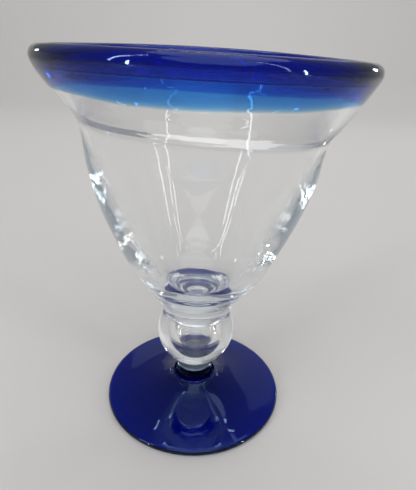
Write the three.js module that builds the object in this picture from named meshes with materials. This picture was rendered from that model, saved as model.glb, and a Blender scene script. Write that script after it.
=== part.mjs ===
// Hand-blown stemmed cocktail glass: a clear bell-shaped bowl with a cobalt lip wrap, standing on a
// solid ball knop, a short neck and a cobalt foot. Millimetres, +Z up. The origin is the centre of
// the foot's flat underside, where the glass rests on the table.
//
// Every piece is a gather of glass turned about the upright axis, so each one is a lathed outline.
// Foot, neck, knop and bowl were joined hot, face to face; the wrap lies round the bowl's lip.

import * as THREE from 'three';

// ---- driving dimensions -----------------------------------------------------------------------
const HEIGHT = 165;               // table to the top of the lip
const RIM_RADIUS = 64;            // outside of the lip bead
const FOOT_RADIUS = 44.8;
const FOOT_EDGE = 3;              // thickness of the foot at its fire-polished edge
const FOOT_HEIGHT = 18;           // the foot cones up to a stub that carries the neck
const COLLAR_RADIUS = 10.6;       // low ring where the cone meets the stub
const COLLAR_HEIGHT = 11.7;
const NECK_RADIUS = 9.2;
const NECK_HEIGHT = 4.5;
const BALL_RADIUS = 18.9;
const BALL_CENTRE = 39;           // height of the widest ring of the ball
const BOWL_BASE = 49.5;           // the bowl's heavy bottom is fused to the ball here
const BOWL_FLOOR = 65;            // inside bottom of the bowl
const SHOULDER_HEIGHT = 139;      // the wall turns outwards here, into the flare
const SHOULDER_RADIUS = 50.4;
const WRAP_BOTTOM = 151.5;        // lower edge of the blue lip wrap
const WALL = 3.6;                 // wall thickness at the shoulder
const WRAP_SEAM = 0.2;            // hairline between the clear lip and the wrap around it

// A hand-made glass is never quite true. This one leans a little to +X, its lip and its shoulder dip
// that way, and the lip stands higher at the front and the back than at the sides.
const LEAN = 1.4;                 // sideways shift of the lip's centre
const LIP_DIP = 0.015;            // tilt of the lip in radians; none at the bowl's base
const SHOULDER_DIP = 0.04;        // extra tilt around the shoulder, radians
const SHOULDER_DIP_SPAN = [101, 138, 141, 158];   // heights where it starts, is full, wanes and ends
const LIP_WAVE = 1.2;             // how much the lip rises at the front and the back

const SEGMENTS = 48;              // facets round the axis

// ---- outline helpers (x is the radius, y the height) ------------------------------------------
const at = (radius, height) => new THREE.Vector2(radius, height);

// Smooth outline through a few points, cut into equal steps.
function smooth(points, steps) {
  return new THREE.SplineCurve(points).getPoints(steps);
}

// Part of a circle, from one angle to another in degrees, 0 pointing outwards and 90 up.
function arc(centreRadius, centreHeight, radius, fromDegrees, toDegrees, steps) {
  const points = [];
  for (let i = 0; i <= steps; i += 1) {
    const angle = THREE.MathUtils.degToRad(fromDegrees + ((toDegrees - fromDegrees) * i) / steps);
    points.push(at(centreRadius + radius * Math.cos(angle), centreHeight + radius * Math.sin(angle)));
  }
  return points;
}

// Joins stretches of outline end to end and leaves out the points they share.
function outline(...stretches) {
  const points = [];
  for (const point of stretches.flat()) {
    if (points.length === 0 || points[points.length - 1].distanceTo(point) > 1e-6) {
      points.push(point.clone());
    }
  }
  return points;
}

// ---- turning and leaning ----------------------------------------------------------------------
const { clamp, smoothstep } = THREE.MathUtils;

// Tilt of the wall at a height: it grows towards the lip, and more around the shoulder.
function dipAt(z) {
  const up = clamp((z - BOWL_BASE) / (HEIGHT - BOWL_BASE), 0, 1);
  const [growFrom, growTo, fadeFrom, fadeTo] = SHOULDER_DIP_SPAN;
  const shoulder = smoothstep(z, growFrom, growTo) * (1 - smoothstep(z, fadeFrom, fadeTo));
  return LIP_DIP * up + SHOULDER_DIP * shoulder;
}

// Moves every vertex by the lean of the whole glass, the dip of its bowl and the wave of its lip.
function leanOver(geometry) {
  const position = geometry.attributes.position;
  for (let i = 0; i < position.count; i += 1) {
    const x = position.getX(i);
    const y = position.getY(i);
    const z = position.getZ(i);
    const dip = dipAt(z);
    const frontOrBack = (y * y) / Math.max(x * x + y * y, 1);
    const flare = clamp((z - SHOULDER_HEIGHT) / (HEIGHT - SHOULDER_HEIGHT), 0, 1);
    position.setX(i, x * Math.cos(dip) + (LEAN * z) / HEIGHT);
    position.setZ(i, z - x * Math.sin(dip) + LIP_WAVE * frontOrBack * flare);
  }
  geometry.computeVertexNormals();
}

// One gather of glass, from its outline.
function gather(name, points, material) {
  const geometry = new THREE.LatheGeometry(points, SEGMENTS);
  geometry.rotateX(Math.PI / 2);
  leanOver(geometry);
  const mesh = new THREE.Mesh(geometry, material);
  mesh.name = name;
  return mesh;
}

// ---- materials --------------------------------------------------------------------------------
const clearGlass = () => new THREE.MeshStandardMaterial({
  color: '#dfe6e6', roughness: 0.04, metalness: 0, transparent: true, opacity: 0.35,
});
const cobaltGlass = () => new THREE.MeshStandardMaterial({
  color: '#0a1a8c', roughness: 0.05, metalness: 0, transparent: true, opacity: 0.85,
});

// ---- foot: a flat-bottomed disc with a round edge, coned up to a collar and a stub --------------
function footOutline() {
  const edge = FOOT_EDGE / 2;
  const topOfEdge = at(FOOT_RADIUS - edge, FOOT_EDGE);
  return outline(
    [at(0, 0)],
    arc(FOOT_RADIUS - edge, edge, edge, -90, 90, 4),
    smooth([topOfEdge, at(38, 3.7), at(30, 4.7), at(22, 6.4), at(16, 8.5), at(12.6, 10.4)], 8),
    [at(COLLAR_RADIUS, COLLAR_HEIGHT), at(NECK_RADIUS + 0.5, COLLAR_HEIGHT + 0.4)],
    [at(NECK_RADIUS + 0.1, COLLAR_HEIGHT + 3), at(NECK_RADIUS, FOOT_HEIGHT), at(0, FOOT_HEIGHT)],
  );
}

// ---- neck: a short clear collar, a little fuller at mid height ----------------------------------
const NECK_TOP = FOOT_HEIGHT + NECK_HEIGHT;

function neckOutline() {
  const fullest = at(NECK_RADIUS + 0.4, FOOT_HEIGHT + NECK_HEIGHT / 2);
  const side = smooth([at(NECK_RADIUS, FOOT_HEIGHT), fullest, at(ballRadiusAt(NECK_TOP), NECK_TOP)], 4);
  return outline([at(0, FOOT_HEIGHT)], side, [at(0, NECK_TOP)]);
}

// ---- knop: a solid ball, flattened where the neck and the bowl were fused on --------------------
function ballRadiusAt(height) {
  return Math.sqrt(BALL_RADIUS ** 2 - (height - BALL_CENTRE) ** 2);
}

function knopOutline() {
  const from = THREE.MathUtils.radToDeg(Math.asin((NECK_TOP - BALL_CENTRE) / BALL_RADIUS));
  const to = THREE.MathUtils.radToDeg(Math.asin((BOWL_BASE - BALL_CENTRE) / BALL_RADIUS));
  const side = arc(0, BALL_CENTRE, BALL_RADIUS, from, to, 11);
  return outline([at(0, NECK_TOP)], side, [at(0, BOWL_BASE)]);
}

// ---- bowl: thick at the bottom, thinning to the shoulder, flared to the lip ---------------------
const LIP_TOP = HEIGHT - 3;                 // top of the clear lip inside the blue bead
const LIP_INNER = at(RIM_RADIUS - 7, LIP_TOP - 1);

// The joint between the clear flare and the blue wrap, from the wrap's lower edge up and over the
// clear lip to the inside. The seam is how far outside the clear glass the outline runs.
function wrapJoint(seam) {
  return smooth([
    at(RIM_RADIUS - 5.5 + seam, WRAP_BOTTOM),
    at(RIM_RADIUS - 4.6 + seam, WRAP_BOTTOM + 3.3),
    at(RIM_RADIUS - 3.2 + seam, WRAP_BOTTOM + 6.9),
    at(RIM_RADIUS - 4.2, LIP_TOP - 0.2 + seam),
    at(LIP_INNER.x, LIP_INNER.y + seam),
  ], 8);
}

function bowlOutline() {
  const joint = wrapJoint(0);
  const outside = smooth([
    at(ballRadiusAt(BOWL_BASE), BOWL_BASE),
    at(19.4, 58.5),
    at(31.4, 76),
    at(42, 101),
    at(48.1, 124),
    at(SHOULDER_RADIUS - 1.4, SHOULDER_HEIGHT - 6.5),
    at(SHOULDER_RADIUS, SHOULDER_HEIGHT),
    at(SHOULDER_RADIUS + 2.7, SHOULDER_HEIGHT + 4.6),
    at(SHOULDER_RADIUS + 6.5, SHOULDER_HEIGHT + 10),
    joint[0],
  ], 18);
  const inside = smooth([
    LIP_INNER,
    at(52.6, 152.5),
    at(SHOULDER_RADIUS - WALL, SHOULDER_HEIGHT + 2),
    at(44, 124),
    at(36, 101),
    at(23.2, 76),
    at(12.5, 66.7),
    at(0, BOWL_FLOOR),
  ], 14);
  return outline([at(0, BOWL_BASE)], outside, joint, inside);
}

// ---- rim wrap: cobalt glass laid round the lip, a thick bead above a skirt that thins out --------
function rimWrapOutline() {
  const joint = wrapJoint(WRAP_SEAM);
  const skirtEdge = at(RIM_RADIUS - 4.8, WRAP_BOTTOM + 0.3);
  const outside = smooth([
    skirtEdge,
    at(RIM_RADIUS - 2.7, WRAP_BOTTOM + 3.5),
    at(RIM_RADIUS - 0.5, HEIGHT - 6.2),
    at(RIM_RADIUS, HEIGHT - 3.6),
    at(RIM_RADIUS - 1.2, HEIGHT - 1),
    at(RIM_RADIUS - 3.5, HEIGHT),
    at(RIM_RADIUS - 5.8, HEIGHT - 0.9),
    joint[joint.length - 1],
  ], 12);
  return outline([joint[0]], outside, [...joint].reverse());
}

// ---- the glass --------------------------------------------------------------------------------
const glass = new THREE.Group();
glass.add(gather('foot', footOutline(), cobaltGlass()));
glass.add(gather('neck', neckOutline(), clearGlass()));
glass.add(gather('knop', knopOutline(), clearGlass()));
glass.add(gather('bowl', bowlOutline(), clearGlass()));
glass.add(gather('rim_wrap', rimWrapOutline(), cobaltGlass()));

export default glass;
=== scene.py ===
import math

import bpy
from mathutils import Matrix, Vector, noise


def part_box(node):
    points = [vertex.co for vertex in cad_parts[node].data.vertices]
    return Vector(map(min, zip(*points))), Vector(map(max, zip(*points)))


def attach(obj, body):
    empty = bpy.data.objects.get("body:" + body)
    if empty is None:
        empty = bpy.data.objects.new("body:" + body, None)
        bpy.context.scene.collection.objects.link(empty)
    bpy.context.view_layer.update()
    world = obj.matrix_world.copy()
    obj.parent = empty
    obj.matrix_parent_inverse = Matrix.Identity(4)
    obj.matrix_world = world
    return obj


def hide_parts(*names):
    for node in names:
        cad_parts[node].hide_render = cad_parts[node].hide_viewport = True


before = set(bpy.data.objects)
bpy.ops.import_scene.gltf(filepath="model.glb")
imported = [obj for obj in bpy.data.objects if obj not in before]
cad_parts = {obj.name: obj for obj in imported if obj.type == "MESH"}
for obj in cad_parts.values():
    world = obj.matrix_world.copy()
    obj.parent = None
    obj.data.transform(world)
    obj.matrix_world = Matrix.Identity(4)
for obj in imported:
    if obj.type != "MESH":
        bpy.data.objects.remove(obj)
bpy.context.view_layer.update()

# A hand-blown cocktail glass: clear bell-shaped bowl with a cobalt lip wrap, ball knop with an air
# bubble in it, short clear neck and a cobalt foot. Every piece is a gather of glass turned about one
# axis, then pushed a little out of true, as blown glass is. Outlines are (radius, height) in
# millimetres; the meshes are in metres.

MM = 0.001
BODY = "root"


def box_mm(node):
    low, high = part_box(node)
    return low / MM, high / MM


foot_low, foot_high = box_mm("foot")
_, neck_high = box_mm("neck")
knop_low, knop_high = box_mm("knop")
bowl_low, _ = box_mm("bowl")
rim_low, rim_high = box_mm("rim_wrap")

# ---- sizes, most of them taken from the frame ---------------------------------------------------
LIP_RISE = 1.4                                    # highest point of the lip over its mean height
FOOT_RADIUS = (foot_high.y - foot_low.y) / 2
FOOT_TOP = foot_high.z
NECK_TOP = neck_high.z
KNOP_RADIUS = (knop_high.y - knop_low.y) / 2
BOWL_BASE = bowl_low.z
KNOP_CENTRE = (NECK_TOP + BOWL_BASE) / 2 + 3      # the bowl takes more off the ball than the neck
SHOULDER_HEIGHT = 139                             # the wall turns outwards here, into the flare
HEIGHT = rim_high.z - LIP_RISE
LEAN = (rim_low.x + rim_high.x) / 2 - (foot_low.x + foot_high.x) / 2
FUSED = 0.15                                      # how far fused pieces reach into each other
CHAMFER = 0.1                                     # of the ball's two ends, inside their neighbours
FOOT_EDGE = 3.0                                   # thickness at the fire-polished edge

SEGMENTS = 160                                    # round the axis
SHARP_ANGLE = math.radians(24)                    # edges sharper than this stay crisp
SAME_POINT = 1e-4                                 # points closer than this are one point


# ---- curves -------------------------------------------------------------------------------------
def lerp(a, b, t):
    return a + (b - a) * t


def clamp01(value):
    return min(max(value, 0.0), 1.0)


def smoothstep(low, high, value):
    t = clamp01((value - low) / (high - low))
    return t * t * (3 - 2 * t)


def spline(points, steps):
    """Smooth (centripetal Catmull-Rom) line through the points, each span cut into so many steps."""
    points = [Vector(p) for p in points]
    first = points[0] * 2 - points[1]
    last = points[-1] * 2 - points[-2]
    padded = [first, *points, last]
    line = []
    for a, b, c, d in zip(padded, padded[1:], padded[2:], padded[3:]):
        t1 = math.sqrt((b - a).length)
        t2 = t1 + math.sqrt((c - b).length)
        t3 = t2 + math.sqrt((d - c).length)
        for i in range(steps):
            t = lerp(t1, t2, i / steps)
            ab = a.lerp(b, t / t1)
            bc = b.lerp(c, (t - t1) / (t2 - t1))
            cd = c.lerp(d, (t - t2) / (t3 - t2))
            abc = ab.lerp(bc, t / t2)
            bcd = bc.lerp(cd, (t - t1) / (t3 - t1))
            line.append(abc.lerp(bcd, (t - t1) / (t2 - t1)))
    line.append(points[-1])
    return line


def arc(centre, radius, start, end, steps):
    """Part of a circle from one angle to another in degrees; 0 points outwards and 90 up."""
    angles = [math.radians(lerp(start, end, i / steps)) for i in range(steps + 1)]
    return [Vector((centre[0] + radius * math.cos(a), centre[1] + radius * math.sin(a))) for a in angles]


def joined(*lines):
    """Lines put end to end, without the points they share."""
    points = []
    for line in lines:
        for p in line:
            p = Vector(p)
            if not points or (points[-1] - p).length > SAME_POINT:
                points.append(p)
    return points


# ---- the hand of the maker ----------------------------------------------------------------------
LIP_DIP = 0.015                                   # tilt of the lip towards +X, radians
SHOULDER_DIP = 0.04                               # extra tilt around the shoulder
SHOULDER_DIP_SPAN = (100, 138, 141, 158)          # heights where it starts, is full, wanes and ends
LIP_WAVE = 1.2                                    # rise of the lip at the front and the back
UNEVEN_STEM = 0.1                                 # size of the lobes below the bowl
UNEVEN_BOWL = 0.2                                 # and in the bowl
UNEVEN_SPAN = (45, 80)                            # heights between which the one becomes the other
LOBE_SUM = 1.9                                    # the most that the lobes add up to
TRUE_CORE = 12                                    # lobes fade out from this radius to the axis
DRIFT_DEPTH = 0.3                                 # how far the inside of the wall drifts
DRIFT_GRAIN = 0.02                                # depth of the finer unevenness on top of it
DRIFT_HEIGHTS = (160, 150)                        # it has ended at the first, is full at the second
DRIFT_RADII = (4, 30)                             # it starts at the first, is full at the second


def out_of_true(angle, height):
    """Slow unevenness of the turned wall: soft lobes that drift with height. Never outwards."""
    lobes = math.sin(2 * angle + height * 0.021 + 0.6)
    lobes += 0.6 * math.sin(3 * angle - height * 0.034 + 2.1)
    lobes += 0.3 * math.sin(5 * angle + height * 0.05 + 1.3)
    amount = lerp(UNEVEN_STEM, UNEVEN_BOWL, smoothstep(*UNEVEN_SPAN, height))
    return amount * (lobes - LOBE_SUM)


def wall_drift(angle, height):
    """Extra unevenness of the inside of the bowl, so that its wall varies in thickness."""
    p = Vector((math.cos(angle) * 0.8, math.sin(angle) * 0.8, height * 0.02))
    return DRIFT_DEPTH * noise.noise(p) + DRIFT_GRAIN * noise.noise(p * 4)


def placed(radius, angle, height):
    """From the true turned shape to the leaning, dipping glass, in metres."""
    grow_from, grow_to, fade_from, fade_to = SHOULDER_DIP_SPAN
    up = clamp01((height - BOWL_BASE) / (HEIGHT - BOWL_BASE))
    flare = clamp01((height - SHOULDER_HEIGHT) / (HEIGHT - SHOULDER_HEIGHT))
    shoulder = smoothstep(grow_from, grow_to, height) * (1 - smoothstep(fade_from, fade_to, height))
    dip = LIP_DIP * up + SHOULDER_DIP * shoulder
    lean = LEAN * height / HEIGHT
    wave = LIP_WAVE * math.sin(angle) ** 2 * flare
    x = radius * math.cos(angle)
    y = radius * math.sin(angle)
    return Vector((x * math.cos(dip) + lean, y, height - x * math.sin(dip) + wave)) * MM


def shell(outline, closed=False, shape=None):
    """Surface of revolution: its points and faces. An open outline starts and ends on the axis.
    outline may be a function of the angle. shape(radius, angle, height, index) moves a point."""
    rings = []
    for s in range(SEGMENTS):
        angle = 2 * math.pi * s / SEGMENTS
        line = outline(angle) if callable(outline) else outline
        ring = []
        for i, (radius, height) in enumerate(line):
            if shape:
                radius, height = shape(radius, angle, height, i)
            radius += out_of_true(angle, height) * smoothstep(0, TRUE_CORE, radius)
            ring.append(placed(radius, angle, height))
        rings.append(ring)
    count = len(rings[0])
    verts, faces, index = [], [], {}

    def vertex(s, i):
        on_axis = not closed and i in (0, count - 1)
        key = (0 if on_axis else s % SEGMENTS, i)
        if key not in index:
            index[key] = len(verts)
            verts.append(rings[key[0]][i])
        return index[key]

    for s in range(SEGMENTS):
        for i in range(count if closed else count - 1):
            j = (i + 1) % count
            corners = [vertex(s, i), vertex(s + 1, i), vertex(s + 1, j), vertex(s, j)]
            faces.append(list(dict.fromkeys(corners)))
    return verts, faces


def gather(name, *shells):
    """One piece of glass: its outer surface, and the surface of any bubble inside it."""
    verts, faces = [], []
    for shell_verts, shell_faces in shells:
        first = len(verts)
        verts += shell_verts
        faces += [[first + v for v in face] for face in shell_faces]
    mesh = bpy.data.meshes.new(name)
    mesh.from_pydata(verts, [], faces)
    mesh.polygons.foreach_set("use_smooth", [True] * len(mesh.polygons))
    mesh.validate()
    mesh.set_sharp_from_angle(angle=SHARP_ANGLE)
    piece = bpy.data.objects.new(name, mesh)
    bpy.context.scene.collection.objects.link(piece)
    return piece


# ---- outlines -----------------------------------------------------------------------------------
def foot_outline(angle):
    """Disc with a hollow, kicked-up underside, coned up to a thin ring round the stub. Faint tool
    marks run down from the ring."""
    marks = 0.1 * math.sin(17 * angle) + 0.07 * math.sin(29 * angle + 1) + 0.1 * math.sin(5 * angle)
    edge = FOOT_EDGE / 2
    under = spline([(0, 6.9), (2.5, 6.8), (5, 6.3), (6.2, 5.4), (7.4, 5.7), (11, 4.6), (17, 2.8),
                    (26, 1.2), (35, 0.3), (39, 0.08), (FOOT_RADIUS - edge, 0)], steps=5)
    rim = arc((FOOT_RADIUS - edge, edge), edge, -90, 80, steps=12)
    top = spline([rim[-1], (38, 3.7), (30, 4.7), (22, 6.4), (16 + marks, 8.5), (12.6 + marks, 10.4)],
                 steps=6)
    ring = spline([top[-1], (11.5 + marks, 11.3), (11, 12.1), (10.6, 12.4), (10.2, 12.1), (9.9, 11.4),
                   (9.6, 11.5)], steps=5)
    stub = spline([(9.6, 11.5), (9.4, 12.6), (9.3, 15), (9.2, FOOT_TOP)], steps=5)
    cap = [(6, FOOT_TOP), (3, FOOT_TOP), (0, FOOT_TOP)]
    return joined(under, rim, top, ring, stub, cap)


def knop_radius_at(height):
    return math.sqrt(KNOP_RADIUS ** 2 - (height - KNOP_CENTRE) ** 2)


def neck_outline():
    bottom = FOOT_TOP - FUSED
    side = spline([(9.1, bottom), (9.5, FOOT_TOP + 1.6), (9.4, FOOT_TOP + 3.2),
                   (knop_radius_at(NECK_TOP), NECK_TOP)], steps=5)
    return joined([(0, bottom), (4, bottom)], side, [(4, NECK_TOP), (0, NECK_TOP)])


def knop_outline():
    bottom, top = NECK_TOP - FUSED, BOWL_BASE + FUSED
    start = math.degrees(math.asin((NECK_TOP - KNOP_CENTRE) / KNOP_RADIUS))
    end = math.degrees(math.asin((BOWL_BASE - KNOP_CENTRE) / KNOP_RADIUS))
    side = arc((0, KNOP_CENTRE), KNOP_RADIUS, start, end, steps=60)
    low, high = side[0].x, side[-1].x
    return joined([(0, bottom), (4, bottom), (low - CHAMFER, bottom)], side,
                  [(high - CHAMFER, top), (8, top), (0, top)])


BUBBLE_RADIUS = 9.0
BUBBLE_HALF_HEIGHT = 8.5
BUBBLE_CENTRE = KNOP_CENTRE - 1.9
TURNING_LINES = 0.035                             # depth of the fine lines round the bubble


def bubble_outline():
    """The air bubble in the ball, from its top down, so that its surface faces the air. Its lower
    half keeps faint turning lines."""
    steps = 120
    points = []
    for i in range(steps + 1):
        angle = math.radians(90 - 180 * i / steps)
        down = i / steps
        lines = (math.sin(i * 1.1) + 0.6 * math.sin(i * 1.73 + 1)) * smoothstep(0.5, 0.62, down)
        lines *= TURNING_LINES * (1 - smoothstep(0.85, 0.97, down))
        radius = (BUBBLE_RADIUS + lines) * math.cos(angle) if 0 < i < steps else 0
        points.append((radius, BUBBLE_CENTRE + BUBBLE_HALF_HEIGHT * math.sin(angle)))
    return points


# The bowl's outside from the ball to the flare, the flare's outside over the bead to the inside, and
# the inside down to the axis.
FLARE_START = 143.6
BOWL_BOTTOM = [(0, BOWL_BASE), (8, BOWL_BASE)]
BOWL_OUTSIDE = spline([
    (knop_radius_at(BOWL_BASE), BOWL_BASE), (16.7, 52.6), (19.3, 58.5), (25, 66.5), (31.4, 76),
    (37, 88.5), (42, 101), (45.8, 113), (48, 124), (48.7, 131.5), (49.5, 136.8), (50.3, 139.4),
    (51.6, 141.4), (53.3, FLARE_START)], steps=6)
FLARE = spline([
    (53.3, FLARE_START), (57.2, 149), (60.9, 154.6), (63, 158.2), (64, 161.2), (63.3, 163.5),
    (61, 164.9), (58.6, 164.4), (57.2, 162.6), (56.7, 160.8)], steps=24)
BOWL_INSIDE = spline([
    (56.7, 160.8), (55.4, 157), (52.4, 152), (49.2, 146.6), (46.8, 141), (45.4, 134.5),
    (43.8, 124), (40.7, 113), (36, 101), (30.2, 88.5), (23.6, 76.3), (18.9, 70.6), (13, 67),
    (6, 65.4), (0, 65)], steps=6)

BARE_STEPS = 8                                    # from the flare's start to the wrap's edge
WRAP_EDGE = 151.3                                 # height of the wrap's lower edge, before its waves
WRAP_THICKNESS = 1.35
WRAP_FADE = 1.6                                   # rise over which most of the thickness is reached
SKIRT_STEPS = 14
SKIRT_TOP = 158.0
BEAD_START = SKIRT_TOP + 0.1                      # the bead's outline begins above this height
LIP_CORE = [(59.9, 159.6), (59.0, 160.9), (57.7, 161.1)]      # clear glass inside the bead
CORE_OVERLAP = 0.1                                # how far the wrap reaches into that clear glass


def on_flare(height, inset):
    """Point at this height on the outside of the flare, moved into the wall by so much."""
    for a, b in zip(FLARE, FLARE[1:]):
        if a.y <= height <= b.y:
            along = b - a
            inwards = Vector((-along.y, along.x)).normalized()
            return a.lerp(b, (height - a.y) / along.y) + inwards * inset


def wrap_edge(angle):
    """Height of the wrap's lower edge: a little uneven, lower at the front and back than at the sides."""
    waves = 0.4 * math.cos(angle + 0.6) - math.cos(2 * angle + 3.5) + 0.2 * math.sin(5 * angle + 1)
    ripples = 0.12 * math.sin(8 * angle + 1) + 0.08 * math.sin(13 * angle)
    return WRAP_EDGE + waves + ripples


def wrap_inset(above_edge):
    """How deep the joint lies under the surface: the wrap thins out towards its lower edge."""
    return WRAP_THICKNESS * (1 - math.exp(-above_edge / WRAP_FADE)) + 0.01 * above_edge


def skirt_heights(angle):
    """Heights from the wrap's lower edge to the bead, closer together near the edge."""
    edge = wrap_edge(angle)
    return [lerp(edge, SKIRT_TOP, (i / SKIRT_STEPS) ** 1.5) for i in range(SKIRT_STEPS + 1)]


def bowl_outline(angle):
    """Outside up to the wrap's edge, on under the wrap and over the clear core, and down inside."""
    edge = wrap_edge(angle)
    bare = [on_flare(lerp(FLARE_START, edge, i / BARE_STEPS), 0) for i in range(1, BARE_STEPS)]
    covered = [on_flare(h, wrap_inset(h - edge)) for h in skirt_heights(angle)]
    core = spline([covered[-1], *LIP_CORE, BOWL_INSIDE[0]], steps=4)
    return joined(BOWL_BOTTOM, BOWL_OUTSIDE, bare, covered, core, BOWL_INSIDE)


FIRST_INSIDE = len(bowl_outline(0.0)) - len(BOWL_INSIDE)      # where the bowl's outline turns inside


def bowl_shape(radius, angle, height, index):
    """Lets the inside of the wall drift, fading out towards the lip and the axis."""
    if index > FIRST_INSIDE and radius > 0:
        fade = smoothstep(*DRIFT_HEIGHTS, height) * smoothstep(*DRIFT_RADII, radius)
        radius += wall_drift(angle, height) * fade
    return radius, height


def rim_outline(angle):
    """The wrap: up the outside from its thin edge, over the bead, and back down the joint."""
    edge = wrap_edge(angle)
    heights = skirt_heights(angle)
    skirt = [on_flare(h, 0) for h in heights]
    joint = [on_flare(h, wrap_inset(h - edge) + FUSED * smoothstep(0, 1, h - edge)) for h in heights]
    bead = [p for p in FLARE if p.y > BEAD_START]
    core = [(r - CORE_OVERLAP, h - CORE_OVERLAP) for r, h in reversed(LIP_CORE)]
    over_core = spline([BOWL_INSIDE[0], *core, joint[-1]], steps=4)
    return skirt + bead + over_core[1:-1] + joint[:0:-1]


# ---- materials ----------------------------------------------------------------------------------
CLEAR_TINT = (0.5, 0.8, 0.95)                     # the lower a channel, the faster it is absorbed
CLEAR_DENSITY = 2.5
COBALT_RIM_TINT = (0, 0.57, 0.915)
COBALT_FOOT_TINT = (0, 0.6, 0.94)
COBALT_DENSITY = 2000
COBALT_SHEEN = (0.45, 0.68, 1)                    # tint of its reflections
NO_SHEEN = (1, 1, 1)


def set_sockets(node, settings):
    for socket, value in settings.items():
        node.inputs[socket].default_value = value


def add_node(nodes, kind, settings):
    node = nodes.new(kind)
    set_sockets(node, settings)
    return node


def glass_material(name, tint, density, roughness, ior=1.5, sheen=NO_SHEEN):
    """Clear glass coloured by its thickness, with a soft unevenness and faint handling marks.
    roughness is that of the clean glass and that of the marks."""
    material = bpy.data.materials.new(name)
    material.use_nodes = True
    nodes, links = material.node_tree.nodes, material.node_tree.links
    shader = nodes["Principled BSDF"]
    set_sockets(shader, {"Base Color": (1, 1, 1, 1), "Transmission Weight": 1, "IOR": ior,
                         "Specular Tint": (*sheen, 1)})
    place = nodes.new("ShaderNodeTexCoord").outputs["Object"]

    smears = add_node(nodes, "ShaderNodeTexNoise", {"Scale": 38, "Detail": 5, "Roughness": 0.6})
    polish = add_node(nodes, "ShaderNodeMapRange", {"From Min": 0.45, "From Max": 0.8,
                                                    "To Min": roughness[0], "To Max": roughness[1]})
    links.new(place, smears.inputs["Vector"])
    links.new(smears.outputs["Fac"], polish.inputs["Value"])
    links.new(polish.outputs["Result"], shader.inputs["Roughness"])

    stretch = add_node(nodes, "ShaderNodeMapping", {"Scale": (60, 60, 150)})
    ripple = add_node(nodes, "ShaderNodeTexNoise", {"Scale": 1, "Detail": 3})
    relief = add_node(nodes, "ShaderNodeBump", {"Strength": 0.02, "Distance": 0.002})
    links.new(place, stretch.inputs["Vector"])
    links.new(stretch.outputs["Vector"], ripple.inputs["Vector"])
    links.new(ripple.outputs["Fac"], relief.inputs["Height"])
    links.new(relief.outputs["Normal"], shader.inputs["Normal"])

    absorb = add_node(nodes, "ShaderNodeVolumeAbsorption", {"Color": (*tint, 1), "Density": density})
    links.new(absorb.outputs["Volume"], nodes["Material Output"].inputs["Volume"])
    return material


clear_bowl = glass_material("clear_bowl", CLEAR_TINT, CLEAR_DENSITY, (0, 0.03))
clear_knop = glass_material("clear_knop", CLEAR_TINT, CLEAR_DENSITY, (0, 0.02))
clear_neck = glass_material("clear_neck", CLEAR_TINT, CLEAR_DENSITY, (0, 0.02))
cobalt_rim = glass_material("cobalt_rim", COBALT_RIM_TINT, COBALT_DENSITY, (0.02, 0.045),
                            sheen=COBALT_SHEEN)
cobalt_foot = glass_material("cobalt_foot", COBALT_FOOT_TINT, COBALT_DENSITY, (0.01, 0.06),
                             ior=1.52, sheen=COBALT_SHEEN)


def floor_material():
    material = bpy.data.materials.new("studio_floor")
    material.use_nodes = True
    shader = material.node_tree.nodes["Principled BSDF"]
    set_sockets(shader, {"Base Color": (0.66, 0.64, 0.62, 1), "Roughness": 0.55})
    return material


# ---- build --------------------------------------------------------------------------------------
def finish_piece(piece, material, node):
    piece.data.materials.append(material)
    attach(piece, BODY)
    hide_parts(node)


foot = gather("foot_glass", shell(foot_outline))
finish_piece(foot, cobalt_foot, "foot")
neck = gather("neck_glass", shell(neck_outline()))
finish_piece(neck, clear_neck, "neck")
knop = gather("knop_glass", shell(knop_outline()), shell(bubble_outline()))
finish_piece(knop, clear_knop, "knop")
bowl = gather("bowl_glass", shell(bowl_outline, shape=bowl_shape))
finish_piece(bowl, clear_bowl, "bowl")
rim = gather("rim_glass", shell(rim_outline, closed=True))
finish_piece(rim, cobalt_rim, "rim_wrap")

# ---- floor, backdrop and light, in metres -------------------------------------------------------
FLOOR_RADIUS = 1.1
FLOOR_SIDES = 96
FLOOR_DROP = 0.0001                               # keeps the foot clear of the floor
COVE_RADIUS = 0.7
GLASS_MIDDLE = (0, 0, 0.09)


def cove_outline():
    """A round floor that turns up into a low wall all round, far outside the camera."""
    floor = [(0.0, 0.0), (0.15, 0.0), (0.4, 0.0), (0.7, 0.0)]
    curve = arc((FLOOR_RADIUS, COVE_RADIUS), COVE_RADIUS, -90, -15, steps=14)
    return joined(floor, curve)


def make_floor():
    line = cove_outline()
    count = len(line)
    verts, faces = [], []
    for s in range(FLOOR_SIDES):
        angle = 2 * math.pi * s / FLOOR_SIDES
        here = s * count
        there = (s + 1) % FLOOR_SIDES * count
        verts += [(r * math.cos(angle), r * math.sin(angle), h - FLOOR_DROP) for r, h in line]
        faces += [(here + i, here + i + 1, there + i + 1, there + i) for i in range(count - 1)]
    mesh = bpy.data.meshes.new("studio_floor")
    mesh.from_pydata(verts, [], faces)
    mesh.polygons.foreach_set("use_smooth", [True] * len(mesh.polygons))
    mesh.validate()
    mesh.materials.append(floor_material())
    floor = bpy.data.objects.new("studio_floor", mesh)
    bpy.context.scene.collection.objects.link(floor)


def lamp(name, place, size, watts, colour=(1, 1, 1), aim=GLASS_MIDDLE, length=None):
    """Soft round light, or a tube if it has a length. It faces the glass unless aimed elsewhere."""
    light = bpy.data.lights.new(name, "AREA")
    light.shape = "RECTANGLE" if length else "DISK"
    light.size = size
    light.size_y = length or size
    light.energy = watts
    light.color = colour
    holder = bpy.data.objects.new(name, light)
    holder.location = place
    holder.rotation_euler = (Vector(aim) - Vector(place)).to_track_quat("-Z", "Y").to_euler()
    bpy.context.scene.collection.objects.link(holder)


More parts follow.
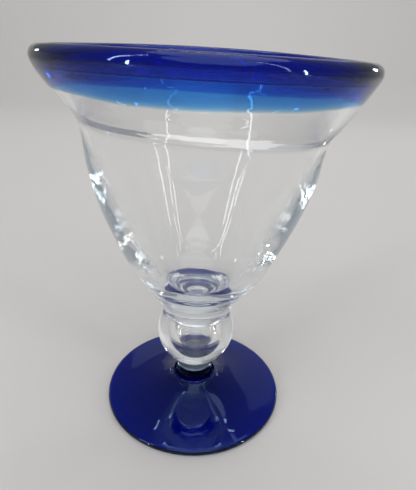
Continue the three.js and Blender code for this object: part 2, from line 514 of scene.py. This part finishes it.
make_floor()
lamp("ceiling_softbox", (0.1, 0.15, 1.35), 1.1, 3.5)
lamp("front_softbox", (0.1, -1.0, 1.35), 1.5, 7)
lamp("back_softbox", (0.1, 1.35, 0.95), 1.3, 1.2)
lamp("side_left", (-0.95, 0.75, 0.42), 0.12, 0.6)
lamp("side_right", (0.95, 0.8, 0.42), 0.16, 1.2)
lamp("backdrop_wash", (0, 0.6, 1.1), 0.5, 4, aim=(0, 1.6, 0.3))
lamp("tube_left", (-0.8, -0.8, 0.26), 0.045, 2.2, length=0.4)
lamp("tube_right", (0.95, -0.57, 0.25), 0.045, 2.2, length=0.4)
lamp("strip_left", (-0.85, -0.55, 0.85), 0.05, 3, length=1.2)
lamp("strip_right", (0.75, -0.65, 0.85), 0.03, 1.4, (1, 0.9, 0.85), length=1.2)

world = bpy.data.worlds.new("studio_air")
world.use_nodes = True
set_sockets(world.node_tree.nodes["Background"], {"Color": (0.9, 0.95, 1, 1), "Strength": 0.27})
bpy.context.scene.world = world
bpy.context.scene.view_settings.view_transform = "Standard"

# Light is guided a long way inside thick glass, so it is followed through many bounces.
BOUNCES = 40
light_paths = bpy.context.scene.cycles
light_paths.max_bounces = BOUNCES
light_paths.transmission_bounces = BOUNCES
light_paths.glossy_bounces = BOUNCES

# ---- camera -------------------------------------------------------------------------------------
CAMERA_PLACE = Vector((4.6, -176.6, 168.2)) * MM
CAMERA_PITCH = 0.4427                             # radians below level
CAMERA_ROLL = 0.0444                              # radians
CAMERA_LENS = 31.39                               # for the 36 mm long side of the frame

camera_data = bpy.data.cameras.new("photographer")
camera_data.lens = CAMERA_LENS
camera_data.clip_start = 0.01
camera = bpy.data.objects.new("photographer", camera_data)
turned = Matrix.Rotation(math.pi / 2 - CAMERA_PITCH, 4, "X") @ Matrix.Rotation(CAMERA_ROLL, 4, "Z")
camera.matrix_world = Matrix.Translation(CAMERA_PLACE) @ turned
bpy.context.scene.collection.objects.link(camera)
bpy.context.scene.camera = camera

bpy.context.view_layer.update()
